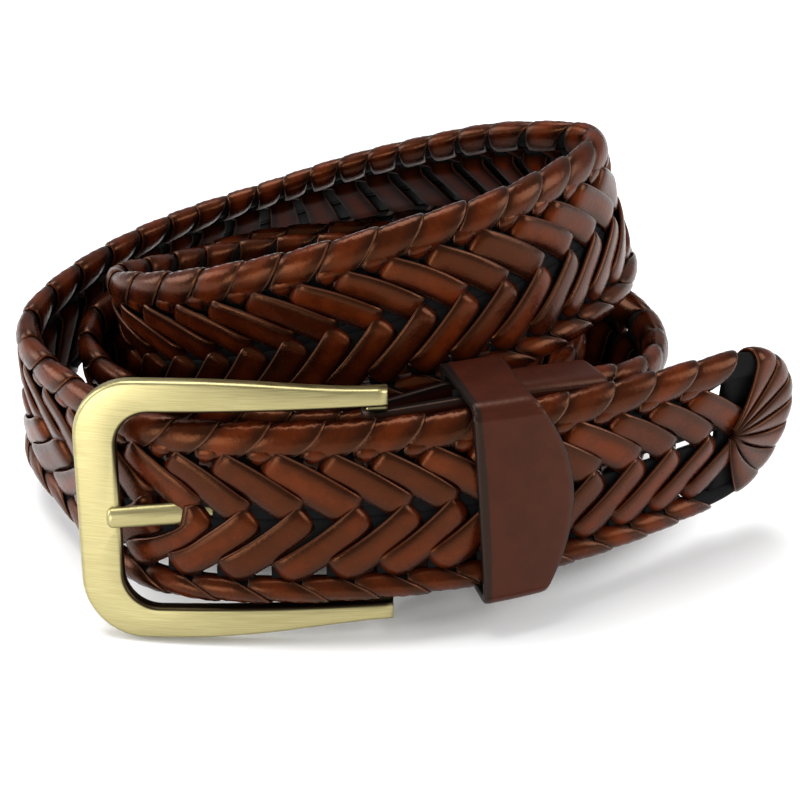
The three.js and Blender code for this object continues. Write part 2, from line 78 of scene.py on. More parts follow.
# The strap's way round, the same rows as the part: shares of wide and deep, lift as a share of
# the strap's width, lean in degrees
strap = {"width": 38, "wide": 126, "deep": 98, "tip": 17, "toBar": 14, "edgeThick": 5.2, "start": 0.3}
strapRoute = np.array([
    # front run, from the tip
    (0.745, -0.100, 0.170, 6), (0.620, -0.215, 0.200, 2), (0.500, -0.320, 0.230, -5),
    (0.340, -0.430, 0.240, -9), (0.140, -0.500, 0.236, -14), (-0.065, -0.520, 0.228, -15),
    (-0.235, -0.495, 0.200, -14),
    # left bend
    (-0.335, -0.415, 0.160, -8), (-0.400, -0.295, 0.155, 0), (-0.470, -0.170, 0.165, 4),
    (-0.520, -0.055, 0.185, 0), (-0.500, 0.095, 0.225, -11),
    # back run, climbing
    (-0.425, 0.310, 0.290, -24), (-0.285, 0.520, 0.380, -35), (-0.085, 0.605, 0.545, -42),
    (0.115, 0.560, 0.790, -43),
    # raised bend
    (0.280, 0.450, 1.000, -42), (0.385, 0.310, 1.090, -32), (0.455, 0.225, 1.070, -19),
    (0.458, 0.122, 1.050, -11),
    # inner front run, coming down
    (0.395, -0.010, 1.080, -13), (0.300, -0.150, 1.080, -15), (0.165, -0.225, 1.030, -12),
    (-0.010, -0.250, 0.870, -4), (-0.175, -0.195, 0.660, 2),
    # inner left bend
    (-0.305, -0.070, 0.450, 6), (-0.360, 0.055, 0.280, 6), (-0.310, 0.190, 0.165, 4),
    # inner back run
    (-0.205, 0.310, 0.095, 2), (-0.060, 0.380, 0.060, 1), (0.100, 0.395, 0.040, 2), (0.240, 0.345, 0.020, 4),
    # right bend under the raised one
    (0.345, 0.225, 0, 8), (0.385, 0.050, 0, 12), (0.352, -0.118, 0, 9),
    # front run between the inner and the outer one
    (0.235, -0.224, 0, 5), (0.045, -0.320, 0, 3), (-0.165, -0.284, 0, 5),
    # middle left bend
    (-0.330, -0.175, 0.010, 8), (-0.412, -0.015, 0.020, 8), (-0.392, 0.155, 0.020, 5),
    (-0.290, 0.315, 0.010, 3),
    # middle back run
    (-0.160, 0.433, 0, 5), (0.005, 0.473, 0, 6), (0.165, 0.463, 0, 5), (0.305, 0.390, 0, 6),
    # low right bend
    (0.420, 0.260, 0, 8), (0.505, 0.115, 0, 10), (0.520, -0.035, 0.010, 8), (0.480, -0.165, 0.070, 6),
    # behind the front run, into the tab
    (0.395, -0.260, 0.165, 1), (0.275, -0.343, 0.232, -5), (0.150, -0.394, 0.232, -11),
    (0.085, -0.421, 0.225, -14),
])


def routeAt(u):
    rows = np.vstack([2 * strapRoute[0] - strapRoute[1], strapRoute, 2 * strapRoute[-1] - strapRoute[-2]])
    i = np.minimum(u.astype(int), len(strapRoute) - 2)
    t = (u - i)[:, None]
    before, now, after, later = rows[i], rows[i + 1], rows[i + 2], rows[i + 3]
    return ((1 - t) ** 3 * before + (3 * t ** 3 - 6 * t ** 2 + 4) * now
            + (-3 * t ** 3 + 3 * t ** 2 + 3 * t + 1) * after + t ** 3 * later) / 6


def unit(vectors):
    return vectors / np.linalg.norm(vectors, axis=-1, keepdims=True)


walked = routeAt(np.linspace(0, len(strapRoute) - 1, 6001))
lean = np.radians(walked[:, 3:])
walkCentre = np.hstack([walked[:, :1] * strap["wide"], walked[:, 1:2] * strap["deep"],
                        walked[:, 2:3] * strap["width"] + strap["width"] / 2 * np.cos(lean)])
walkLength = np.concatenate([[0], np.cumsum(np.linalg.norm(np.diff(walkCentre, axis=0), axis=1))])
walkAlong = unit(np.gradient(walkCentre, axis=0))
level = unit(np.stack([-walkAlong[:, 1], walkAlong[:, 0], 0 * walkAlong[:, 2]], -1))
upward = np.cross(walkAlong, level)
upward = np.where(upward[:, 2:] < 0, -upward, upward)
walkAcross = np.cos(lean) * upward + np.sin(lean) * level
walkOut = np.cos(lean) * level - np.sin(lean) * upward
routeLength = walkLength[-1]
strapLength = routeLength - strap["toBar"]


def onRoute(s, v, n):
    def at(values):
        return np.stack([np.interp(s, walkLength, values[:, i]) for i in range(3)], -1)
    return at(walkCentre) + v[..., None] * at(walkAcross) + n[..., None] * at(walkOut)


# The buckle's own axes, the same as the part's: a to the right, h up the frame, t out of its face
buckle = {
    "long": 61.3, "opening": 40.6, "arm": 6.5, "armEnd": 3.7, "armTaper": 1.6, "endBar": 8.5, "thick": 3.5,
    "bevel": 0.9, "outerCorner": 12, "innerCorner": 7, "lean": 14, "rise": 1.5,
    "middle": (-19.4, -46.2, 26.6), "barDepth": 5.9, "barThick": 2.5, "barBeyond": 1.0, "seat": 0.3,
    "lugLong": 4.3, "lugHigh": 3.2, "lugHalf": 2.1, "lugBack": 2.4, "lugSink": 0.4, "notchRoom": 0.35,
}
bowRows = np.array([(0, 0), (0.25, 0.036), (0.55, 0.054), (0.80, 0.044), (1, 0.028)])
rise = math.radians(buckle["rise"])
buckleRight = np.array([math.cos(rise), 0, math.sin(rise)])
buckleUp = np.array([0, math.sin(math.radians(buckle["lean"])), math.cos(math.radians(buckle["lean"]))])
buckleUp = unit(buckleUp - buckleUp @ buckleRight * buckleRight)
buckleOut = np.cross(buckleRight, buckleUp)


def onBuckle(a, h, t):
    a, h, t = np.broadcast_arrays(np.asarray(a, float), h, t)
    share = np.clip(a / buckle["long"] + 0.5, 0, 1)
    curve = np.polynomial.Polynomial.fit(bowRows[:, 0], bowRows[:, 1], 3)
    bow = curve(share) * buckle["long"]
    return (np.array(buckle["middle"]) + a[..., None] * buckleRight + h[..., None] * buckleUp
            + (t + bow)[..., None] * buckleOut)


barA = buckle["long"] / 2 - buckle["lugLong"] / 2
barMiddle = onBuckle(barA, 0, -buckle["barDepth"])
low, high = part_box("buckle_bar")
shift = np.array((low + high) / 2) * 1000 - barMiddle
print("route", round(routeLength, 1), "mm, shift", np.round(shift, 3))


def inMetres(points):
    return (points + shift) / 1000


# Prong: its axis from the bar to the notch, and the strap parted round it. room: how far the laces give
# way above and below it, reach: how far across they are moved, easing: how far along the strap that fades
prong = {
    "thick": 3.4, "tipThick": 2.9, "eye": 1.3, "low": 1.2, "short": 5.9, "stand": 2.4, "tall": 1.45,
    "room": 2.0, "reach": 9.0, "easing": 6, "near": (90, 190), "sunk": 0.2,
    "rodFrom": 2.2, "straight": 0.55, "rounding": ((1, 0.7), (0.9, 0.4), (0.62, 0.12)),
}
prongStart = onBuckle(barA, -prong["low"], -buckle["barDepth"])
prongEnd = onBuckle(-buckle["long"] / 2 + prong["short"], -prong["low"], prong["stand"])


def prongPlaces():
    rows = []
    near = (walkLength > prong["near"][0]) & (walkLength < prong["near"][1])
    for share in np.linspace(0.1, 1, 60):
        point = prongStart + (prongEnd - prongStart) * share
        i = np.flatnonzero(near)[np.argmin(np.linalg.norm(walkCentre[near] - point, axis=1))]
        off = point - walkCentre[i]
        rows.append((walkLength[i], off @ walkAcross[i], off @ walkOut[i]))
    return np.array(rows)


crossing = prongPlaces()
crossing = crossing[np.argsort(crossing[:, 0])]
depth = crossing[:, 2]
inside = (depth > prong["thick"] * prong["sunk"]) & (depth < strap["edgeThick"] / 2 + prong["thick"] / 2)
crossFrom, crossTo = crossing[inside, 0].min(), crossing[inside, 0].max()
print("prong passes the strap from", round(crossFrom, 1), "to", round(crossTo, 1))


def partRoundProng(s, v):
    at = np.interp(s, crossing[:, 0], crossing[:, 1])
    reach, easing = prong["reach"], prong["easing"]
    ease = np.clip((s - crossFrom + easing) / easing, 0, 1) * np.clip((crossTo + easing - s) / easing, 0, 1)
    ease = ease * ease * (3 - 2 * ease)
    upper = at + prong["room"] + np.clip(v, 0, reach) * (reach - at - prong["room"]) / reach
    lower = at - prong["room"] + np.clip(v, -reach, 0) * (reach + at - prong["room"]) / reach
    parted = np.where(v >= 0, upper, lower)
    return np.where(np.abs(v) < reach, v + (parted - v) * ease, v)


def onStrap(s, v, n):
    s = np.clip(s, strap["start"], strapLength)
    back = np.clip(1 - s / strap["tip"], 0, 1)
    return onRoute(s, partRoundProng(s, v) * np.sqrt(1 - back ** 2), n)


def addMesh(name, points, faces, material, values=None, smooth=True):
    mesh = bpy.data.meshes.new(name)
    mesh.from_pydata(inMetres(points).tolist(), [], faces)
    for key, numbers in (values or {}).items():
        mesh.attributes.new(key, "FLOAT", "POINT").data.foreach_set("value", np.asarray(numbers, np.float32))
    mesh.polygons.foreach_set("use_smooth", [smooth] * len(mesh.polygons))
    mesh.materials.append(material)
    mesh.update()
    made = bpy.data.objects.new(name, mesh)
    bpy.context.scene.collection.objects.link(made)
    return made


def gridFaces(lines, stations, ring, closed=True, capped=True):
    faces = []
    for line in range(lines):
        base = line * stations * ring
        for i in range(stations - 1):
            for j in range(ring if closed else ring - 1):
                k = (j + 1) % ring
                a = base + i * ring
                b = a + ring
                faces.append((a + j, a + k, b + k, b + j))
        if capped:
            faces.append(tuple(range(base + ring - 1, base - 1, -1)))
            last = base + (stations - 1) * ring
            faces.append(tuple(range(last, last + ring)))
    return faces


# A box whose corners are listed with the last coordinate changing first
boxFaces = [(0, 1, 3, 2), (4, 6, 7, 5), (0, 4, 5, 1), (2, 3, 7, 6), (0, 2, 6, 4), (1, 5, 7, 3)]


# Node helpers
def newMaterial(name):
    material = bpy.data.materials.new(name)
    material.use_nodes = True
    tree = material.node_tree
    return material, tree, tree.nodes["Principled BSDF"]


def setInputs(node, values):
    for key, value in values.items():
        node.inputs[key].default_value = value


def addSockets(group, way, **kinds):
    for name, kind in kinds.items():
        group.interface.new_socket(name, in_out=way, socket_type="NodeSocket" + kind)


def addNode(tree, kind, **values):
    node = tree.nodes.new(kind)
    for key, value in values.items():
        if hasattr(node, key):
            setattr(node, key, value)
        else:
            node.inputs[key.replace("_", " ")].default_value = value
    return node


def mathNode(tree, operation, first, second=None, third=None):
    node = tree.nodes.new("ShaderNodeMath")
    node.operation = operation
    node.use_clamp = operation == "MULTIPLY_ADD"
    for i, value in enumerate((first, second, third)):
        if isinstance(value, (int, float)):
            node.inputs[i].default_value = value
        elif value is not None:
            tree.links.new(value, node.inputs[i])
    return node.outputs[0]


def rangeNode(tree, value, low, high, toLow=0.0, toHigh=1.0):
    node = tree.nodes.new("ShaderNodeMapRange")
    node.interpolation_type = "SMOOTHSTEP"
    tree.links.new(value, node.inputs["Value"])
    setInputs(node, {"From Min": low, "From Max": high, "To Min": toLow, "To Max": toHigh})
    return node.outputs["Result"]


def mixColour(tree, share, first, second):
    node = tree.nodes.new("ShaderNodeMix")
    node.data_type = "RGBA"
    tree.links.new(share, node.inputs["Factor"])
    for socket, value in ((node.inputs[6], first), (node.inputs[7], second)):
        if isinstance(value, tuple):
            socket.default_value = (*value, 1)
        else:
            tree.links.new(value, socket)
    return node.outputs[2]


# Leather grain: fine pores and long faint streaks, as a normal and a tone mask
def grainGroup():
    group = bpy.data.node_groups.new("leatherGrain", "ShaderNodeTree")
    addSockets(group, "INPUT", Scale="Float", Depth="Float")
    addSockets(group, "OUTPUT", Tone="Float", Normal="Vector")
    start = group.nodes.new("NodeGroupInput")
    end = group.nodes.new("NodeGroupOutput")
    place = group.nodes.new("ShaderNodeTexCoord")
    pores = addNode(group, "ShaderNodeTexNoise", Detail=3.0)
    patches = addNode(group, "ShaderNodeTexNoise", Scale=190.0, Detail=4.0, Roughness=0.6)
    group.links.new(place.outputs["Object"], pores.inputs["Vector"])
    group.links.new(place.outputs["Object"], patches.inputs["Vector"])
    group.links.new(start.outputs["Scale"], pores.inputs["Scale"])
    bump = addNode(group, "ShaderNodeBump", Distance=0.0002)
    height = mathNode(group, "MULTIPLY_ADD", patches.outputs[0], 0.8, pores.outputs[0])
    group.links.new(height, bump.inputs["Height"])
    group.links.new(start.outputs["Depth"], bump.inputs["Strength"])
    group.links.new(rangeNode(group, patches.outputs[0], 0.3, 0.7), end.inputs["Tone"])
    group.links.new(bump.outputs["Normal"], end.inputs["Normal"])
    return group


# Cut edge: a pale line on the very edge, partly the raw cut edge's own colour and partly a painted highlight,
# and beside it a band of painted shade that darkens the lace towards its edges
def edgeGroup():
    group = bpy.data.node_groups.new("cutEdge", "ShaderNodeTree")
    addSockets(group, "INPUT", Across="Float")
    addSockets(group, "OUTPUT", Pale="Float", Burnt="Float")
    start = group.nodes.new("NodeGroupInput")
    end = group.nodes.new("NodeGroupOutput")
    side = mathNode(group, "ABSOLUTE", start.outputs["Across"])
    # The pale line: partly the raw cut edge's own colour, partly a painted highlight where the edge catches
    # the light
    paleIn, paleOut = rangeNode(group, side, 0.885, 0.93), rangeNode(group, side, 0.97, 1.0, 1, 0)
    pale = mathNode(group, "MULTIPLY", paleIn, paleOut)
    group.links.new(pale, end.inputs["Pale"])
    # Painted shade: darker from the middle of the lace out towards its edges, where the laces shade each
    # other
    paintedShadeIn, paintedShadeOut = rangeNode(group, side, 0.35, 0.9), rangeNode(group, side, 0.89, 0.93, 1, 0)
    paintedShade = mathNode(group, "MULTIPLY", paintedShadeIn, paintedShadeOut)
    group.links.new(paintedShade, end.inputs["Burnt"])
    return group


grain = grainGroup()
cutEdge = edgeGroup()


def useGroup(tree, group):
    node = tree.nodes.new("ShaderNodeGroup")
    node.node_tree = group
    return node


def useGrain(tree, look):
    node = useGroup(tree, grain)
    setInputs(node, {"Scale": look["grainScale"], "Depth": look["grainDepth"]})
    return node


def setLeather(shader, look):
    setInputs(shader, {"Specular IOR Level": look["gloss"], "Specular Tint": (*look["sheen"], 1)})


def readValue(tree, name):
    return addNode(tree, "ShaderNodeAttribute", attribute_name=name).outputs["Fac"]


laceLook = {
    "brown": (0.011, 0.002, 0.0009),
    "orange": (0.108, 0.0155, 0.0021),
    # dark: the colour of the painted shade at the lace edges and ends
    "dark": (0.006, 0.0018, 0.0012),
    # rim: the pale cut edge colour, partly its own raw colour and partly a painted highlight
    "rim": (0.20, 0.105, 0.065),
    "roughness": 0.27,
    "gloss": 0.38,
    "sheen": (1.0, 0.38, 0.17),
    "grainScale": 1500,
    "grainDepth": 0.22,
    "dullEnds": 0.45,
    "mottle": 0.12,
}


def laceMaterial(name, look):
    material, tree, shader = newMaterial(name)
    across, along, tone = (readValue(tree, key) for key in ("across", "along", "tone"))
    edges = useGroup(tree, cutEdge)
    tree.links.new(across, edges.inputs["Across"])
    skin = useGrain(tree, look)
    laceTone = rangeNode(tree, tone, 0, 1, 0.25, 0.7)
    warm = mathNode(tree, "MULTIPLY", laceTone, rangeNode(tree, skin.outputs["Tone"], 0, 1, 0.5, 1.0))
    # Painted highlight: the middle of each lace across its width is more orange, as if lit along its crown
    paintedCrownHighlight = rangeNode(tree, mathNode(tree, "ABSOLUTE", across), 0.1, 0.75, 1.0, 0.45)
    base = mixColour(tree, mathNode(tree, "MULTIPLY", warm, paintedCrownHighlight), look["brown"], look["orange"])
    ends = mathNode(tree, "MAXIMUM", rangeNode(tree, along, 0.7, 1.0), rangeNode(tree, along, 0.14, 0.0))
    # Painted shade: the lace darkens towards both ends, where it passes under other laces and into the holes;
    # the same ends also get more roughness below
    paintedEndShade = mathNode(tree, "MULTIPLY", ends, 0.8)
    base = mixColour(tree, paintedEndShade, base, look["dark"])
    # Painted shade: the dark colour mixed in towards the lace's edges
    paintedShade = mathNode(tree, "MULTIPLY", edges.outputs["Burnt"], 0.9)
    base = mixColour(tree, paintedShade, base, look["dark"])
    # The pale edge line, partly raw cut edge and partly a painted highlight, is strongest over the first part
    # of each lace and gone beyond 0.7 of its length
    pale = mathNode(tree, "MULTIPLY", edges.outputs["Pale"], rangeNode(tree, along, 0.4, 0.7, 0.22, 0.0))
    tree.links.new(mixColour(tree, pale, base, look["rim"]), shader.inputs["Base Color"])
    mottle = look["mottle"]
    rough = mathNode(tree, "MULTIPLY_ADD", skin.outputs["Tone"], mottle, look["roughness"] - mottle / 2)
    rough = mathNode(tree, "MULTIPLY_ADD", ends, look["dullEnds"], rough)
    tree.links.new(rough, shader.inputs["Roughness"])
    setLeather(shader, look)
    tree.links.new(skin.outputs["Normal"], shader.inputs["Normal"])
    return material


# The laces of the inner face are duller, and their base colours are lighter than the outer laces': painted
# light that lifts the shaded inside of the coil
innerLook = {
    "gloss": 0.03,
    "roughness": 0.6,
    "brown": (0.022, 0.0038, 0.0013),
    "orange": (0.15, 0.022, 0.004),
}

coreLook = {
    "colour": (0.0045, 0.0045, 0.0048),
    "roughness": 0.7,
    "gloss": 0.07,
    "sheen": (1.0, 0.95, 0.9),
    "grainScale": 1400,
    "grainDepth": 0.3,
}


def coreMaterial(look):
    material, tree, shader = newMaterial("blackCore")
    skin = useGrain(tree, look)
    setInputs(shader, {"Base Color": (*look["colour"], 1), "Roughness": look["roughness"]})
    setLeather(shader, look)
    tree.links.new(skin.outputs["Normal"], shader.inputs["Normal"])
    return material


smoothLook = {
    "brown": (0.028, 0.0055, 0.0028),
    "light": (0.038, 0.0075, 0.0037),
    "edge": (0.006, 0.005, 0.005),
    "roughness": 0.38,
    "gloss": 0.28,
    "sheen": (1.0, 0.55, 0.38),
    "grainScale": 1100,
    "grainDepth": 0.25,
}


def smoothMaterial(look):
    material, tree, shader = newMaterial("smoothLeather")
    skin = useGrain(tree, look)
    base = mixColour(tree, skin.outputs["Tone"], look["brown"], look["light"])
    side = mathNode(tree, "ABSOLUTE", readValue(tree, "across"))
    base = mixColour(tree, rangeNode(tree, side, 0.9, 0.985), base, look["edge"])
    tree.links.new(base, shader.inputs["Base Color"])
    tree.links.new(skin.outputs["Normal"], shader.inputs["Normal"])
    setInputs(shader, {"Roughness": look["roughness"]})
    setLeather(shader, look)
    return material


brassLook = {
    "colour": (0.41, 0.362, 0.178),
    "shade": (0.32, 0.275, 0.125),
    "innerWallDark": (0.045, 0.032, 0.016),
    "roughness": 0.33,
}


def brassMaterial(look):
    material, tree, shader = newMaterial("antiqueBrass")
    place = tree.nodes.new("ShaderNodeTexCoord")
    stretch = addNode(tree, "ShaderNodeMapping", Scale=(30.0, 30.0, 1400.0))
    brush = addNode(tree, "ShaderNodeTexNoise", Scale=5.0, Detail=5.0)
    tree.links.new(place.outputs["Object"], stretch.inputs["Vector"])
    tree.links.new(stretch.outputs["Vector"], brush.inputs["Vector"])
    streak = rangeNode(tree, brush.outputs[0], 0.3, 0.7)
    plain = mixColour(tree, streak, look["shade"], look["colour"])
    # Darker on the inner wall of the frame, round the opening
    wall = rangeNode(tree, readValue(tree, "innerWall"), 0.02, 0.5)
    tree.links.new(mixColour(tree, wall, plain, look["innerWallDark"]), shader.inputs["Base Color"])
    tree.links.new(mathNode(tree, "MULTIPLY_ADD", streak, 0.1, look["roughness"]), shader.inputs["Roughness"])
    bump = addNode(tree, "ShaderNodeBump", Strength=0.06, Distance=0.0001)
    tree.links.new(brush.outputs[0], bump.inputs["Height"])
    tree.links.new(bump.outputs["Normal"], shader.inputs["Normal"])
    setInputs(shader, {"Metallic": 1})
    return material


lacedLeather = laceMaterial("lacedLeather", laceLook)
innerLeather = laceMaterial("innerLeather", {**laceLook, **innerLook})
blackCore = coreMaterial(coreLook)
smoothLeather = smoothMaterial(smoothLook)
antiqueBrass = brassMaterial(brassLook)
print("materials made")


# Where each lace turn starts, from the tip: turn number and length, with even turns between. The bands
# are drawn for one pitch and stretched to each turn's own. edgesFrom is where the tip's fan ends.
lacing = {"pitch": 10.3, "edgesFrom": 22, "edgesClear": 6}
laceRows = np.array([(1, 18.4), (2, 28.2), (5, 56.1), (10, 105.2), (12, 126.3), (27, 272.4), (33, 325.5),
                     (44, 422.5), (47, 449.0), (103, 953.0)])
turns = np.interp(np.arange(1, 104), laceRows[:, 0], laceRows[:, 1])
turnGap = np.gradient(turns)


def gapAt(used):
    return np.interp(used, turns, turnGap) / lacing["pitch"]


def turnsFrom(clear):
    return turns[(turns > lacing["edgesFrom"]) & (turns + clear < strapLength)]


# A lace's section, in half widths and half thicknesses
lacePart = np.array([(-1.0, -0.1), (-0.98, 0.3), (-0.86, 0.9), (-0.5, 1.28), (0, 1.4), (0.5, 1.28),
                     (0.86, 0.9), (0.98, 0.3), (1.0, -0.1), (0.93, -0.7), (0.6, -1.0), (-0.6, -1.0),
                     (-0.93, -0.7)])


def smoothRows(rows, count):
    rows = np.asarray(rows, float)
    padded = np.vstack([2 * rows[0] - rows[1], rows, 2 * rows[-1] - rows[-2]])
    u = np.linspace(0, len(rows) - 1, count)
    i = np.minimum(u.astype(int), len(rows) - 2)
    t = (u - i)[:, None]
    a, b, c, d = padded[i], padded[i + 1], padded[i + 2], padded[i + 3]
    square, cube = 2 * a - 5 * b + 4 * c - d, 3 * b - a - 3 * c + d
    return 0.5 * (2 * b + (c - a) * t + square * t ** 2 + cube * t ** 3)


def wovenMesh(name, placed, shape, material=lacedLeather):
    lines, stations, ring = shape
    across = np.broadcast_to(lacePart[:, 0], shape)
    along = np.broadcast_to(np.linspace(0, 1, stations)[None, :, None], shape)
    tone = np.broadcast_to(np.array([random.random() for _ in range(lines)])[:, None, None], shape)
    values = {"across": across.ravel(), "along": along.ravel(), "tone": tone.ravel()}
    return addMesh(name, placed, gridFaces(lines, stations, ring), material, values)


def laceMesh(name, centre, side, normal, halfWide, halfThick, material=lacedLeather):
    w = lacePart[:, 0][None, None, :, None]
    h = lacePart[:, 1][None, None, :, None]
    points = centre[:, :, None] + side[:, :, None] * w * halfWide[..., None, None]
    points = points + normal[:, :, None] * h * halfThick
    flat = points.reshape(-1, 3)
    return wovenMesh(name, onStrap(flat[:, 0], flat[:, 1], flat[:, 2]), points.shape[:3], material)


# Flat laces across the field. rows: share of the way, height above the middle of the strap, share of width.
# clear: room kept free at the tip and at the tab
bandShape = {"halfThick": 0.5, "tilt": 0.17, "jitter": 0.16, "unevenWidth": 0.04, "clear": (8, 12)}
upperBands = {
    "name": "upper_bands", "from": (0.0, 10.5), "to": (-15.4, 0.3), "halfWide": 3.35, "bow": 0.6,
    "rows": [
        (-0.005, -1.0, 0.8), (-0.01, 0.2, 0.9), (0.01, 1.15, 0.96), (0.06, 1.62, 1), (0.16, 1.7, 1),
        (0.35, 1.6, 1), (0.6, 1.6, 1), (0.8, 1.55, 1), (0.91, 1.35, 1), (0.97, 0.85, 0.98),
        (1.0, 0.0, 0.95), (1.005, -0.8, 0.9),
    ],
    **bandShape,
}
lowerBands = {
    "name": "lower_bands", "from": (-17.2, -0.8), "to": (-1.1, -12.0), "halfWide": 3.25, "bow": -0.6,
    "rows": [
        (-0.005, -0.8, 0.85), (-0.01, 0.2, 0.92), (0.02, 1.1, 0.97), (0.07, 1.5, 1), (0.18, 1.6, 1),
        (0.35, 1.55, 1), (0.6, 1.6, 1), (0.82, 1.6, 1), (0.93, 1.35, 0.97), (0.985, 0.7, 0.92),
        (1.0, -0.2, 0.85), (1.0, -0.9, 0.8),
    ],
    **bandShape,
}


def bandPiece(settings, stations=26):
    first = turns + min(settings["from"][0], settings["to"][0])
    atTip, atTab = settings["clear"]
    used = turns[(first > atTip) & (turns + atTab < strapLength)]
    lines = len(used)
    gap = gapAt(used)
    share, height, wide = smoothRows(settings["rows"], stations).T
    start = np.stack([used + settings["from"][0] * gap, np.full(lines, settings["from"][1])], -1)
    end = np.stack([used + settings["to"][0] * gap, np.full(lines, settings["to"][1])], -1)
    jitter = np.array([[random.gauss(0, settings["jitter"]) for _ in range(4)] for _ in range(lines)])
    start += jitter[:, :2]
    end += jitter[:, 2:]
    run = unit(end - start)
    flatSide = np.stack([-run[:, 1], run[:, 0]], -1)
    flatSide *= np.sign(flatSide[:, 1:])
    path = start[:, None] + (end - start)[:, None] * share[None, :, None]
    path += flatSide[:, None] * (settings["bow"] * 4 * share * (1 - share))[None, :, None]
    centre = np.concatenate([path, np.broadcast_to(height[None, :, None], (lines, stations, 1))], -1)
    side = unit(np.concatenate([flatSide, np.full((lines, 1), settings["tilt"])], -1))
    side = np.broadcast_to(side[:, None], centre.shape)
    forward = unit(np.gradient(centre, axis=1))
    normal = unit(np.cross(forward, side))
    flip = np.sign(normal[:, stations // 2, 2])
    normal = normal * flip[:, None, None]
    side = unit(np.cross(normal, forward) * flip[:, None, None])
    keep = np.sign(side[..., 1:2])
    side = side * np.where(keep == 0, 1, keep)
    uneven = 1 + settings["unevenWidth"] * jitter[:, :1] / settings["jitter"]
    halfWide = settings["halfWide"] * wide[None] * uneven * gap[:, None] ** 0.5
    return laceMesh(settings["name"], centre, side, normal, halfWide, settings["halfThick"])


# Laces round the two edges, from the eyelets on the outside over the edge to the inside. Their path is drawn
# on the unrolled edge and then rolled round it, so that a lace hugs the edge over its whole width. Angles
# are degrees round the edge, from the outside; at level a lace is at its own turn.
edgeWraps = {
    "upper": {"middle": 15.1, "high": 3.5, "from": 1.2},
    "lower": {"middle": 15.8, "high": 2.3, "from": 1.9},
    "deep": 2.1, "round": 2.9, "halfThick": 0.36, "shingle": 0.06, "jitter": 0.25,
    "angles": (-104, 262), "level": -60, "over": 90, "run": 7.6, "innerRun": 4.4,
    "halfWide": 3.3, "topWide": 4.7, "widest": 80, "widening": 70, "taper": 20, "endWide": 0.55,
}


def rolledPoints(s, degrees, halfWide, settings):
    arc = np.radians(degrees) * settings["round"]
    path = np.stack([s, np.broadcast_to(arc, s.shape)], -1)
    run = unit(np.gradient(path, axis=1))
    side = np.stack([run[..., 1], -run[..., 0]], -1)
    w = lacePart[:, 0] * halfWide[..., None]
    lift = lacePart[:, 1] * settings["halfThick"] - w * settings["shingle"]
    sAt = s[..., None] + side[..., :1] * w
    angle = (path[..., 1:] + side[..., 1:] * w) / settings["round"]
    return sAt, angle, np.broadcast_to(lift, sAt.shape)


def wrapPiece(name, upper, settings, stations=30):
    used = turnsFrom(lacing["edgesClear"])
    lines = len(used)
    gap = gapAt(used)
    first, last = settings["angles"]
    degrees = np.linspace(first, last, stations)
    sign = 1 if upper else -1
    rail = settings["upper"] if upper else settings["lower"]
    jitter = np.array([random.gauss(0, settings["jitter"]) for _ in range(lines)])
    start = used + rail["from"] * gap + jitter
    level, over = settings["level"], settings["over"]
    onward = np.where(degrees < over, settings["run"] * (degrees - level) / (over - level),
                      settings["run"] + settings["innerRun"] * (degrees - over) / (last - over))
    s = start[:, None] - gap[:, None] * onward[None]
    widening = np.exp(-((degrees - settings["widest"]) / settings["widening"]) ** 2)
    wide = settings["halfWide"] + (settings["topWide"] - settings["halfWide"]) * widening
    taper, least = settings["taper"], settings["endWide"]
    ends = np.clip((degrees - first) / taper, least, 1) * np.clip((last - degrees) / taper, least, 1)
    sAt, angle, lift = rolledPoints(s, degrees, (wide * ends)[None] * gap[:, None], settings)
    v = sign * (rail["middle"] + (rail["high"] + lift) * np.sin(angle))
    n = (settings["deep"] + lift) * np.cos(angle)
    placed = onStrap(sAt.ravel(), v.ravel(), n.ravel())
    return wovenMesh(name, placed, sAt.shape)


# Plain laces down the inner face, between the two rows of eyelets
innerBars = {
    "from": 9.2, "to": -10.6, "at": 4.6, "slant": -2.0, "halfWide": 3.7, "halfThick": 0.4, "deep": 1.75,
    "steep": 4, "clear": 8,
}


def barPiece(settings, stations=18):
    used = turnsFrom(settings["clear"])
    lines = len(used)
    gap = gapAt(used)
    share = np.linspace(0, 1, stations)
    v = settings["from"] + (settings["to"] - settings["from"]) * share
    n = -settings["deep"] * np.clip(np.sin(share * math.pi) * settings["steep"], 0, 1) ** 0.5
    s = (used + settings["at"] * gap)[:, None] + settings["slant"] * (share - 0.5)[None]
    shape = (lines, stations)
    centre = np.stack([s, np.broadcast_to(v, shape), np.broadcast_to(n, shape)], -1)
    forward = unit(np.gradient(centre, axis=1))
    side = np.broadcast_to(np.array([1.0, 0, 0]), shape + (3,))
    normal = unit(np.cross(side, forward))
    normal *= -np.sign(normal[:, stations // 2, 2])[:, None, None]
    halfWide = np.full(shape, settings["halfWide"]) * gap[:, None]
    return laceMesh("inner_bars", centre, side, normal, halfWide, settings["halfThick"], innerLeather)


# Laces fanning round the tip: each starts near one point, widens to the rim and rolls over it
tipFan = {
    "count": 7, "centre": 18.5, "across": 0.6, "first": -60, "last": 62, "halfTurn": 11.2, "startWide": 0.75,
    "start": 1.2, "high": 3.2, "deep": 2.1, "rise": 0.8, "sweep": 10, "halfThick": 0.5, "shingle": 0.3,
    "rolled": 250,
}


def tipRim(direction, centre):
    ahead = strap["tip"] - centre
    x, y = np.cos(direction) / strap["tip"], np.sin(direction) / (strap["width"] / 2)
    first, second = x ** 2 + y ** 2, 2 * ahead * x / strap["tip"]
    third = (ahead / strap["tip"]) ** 2 - 1
    return (-second + np.sqrt(second ** 2 - 4 * first * third)) / (2 * first)


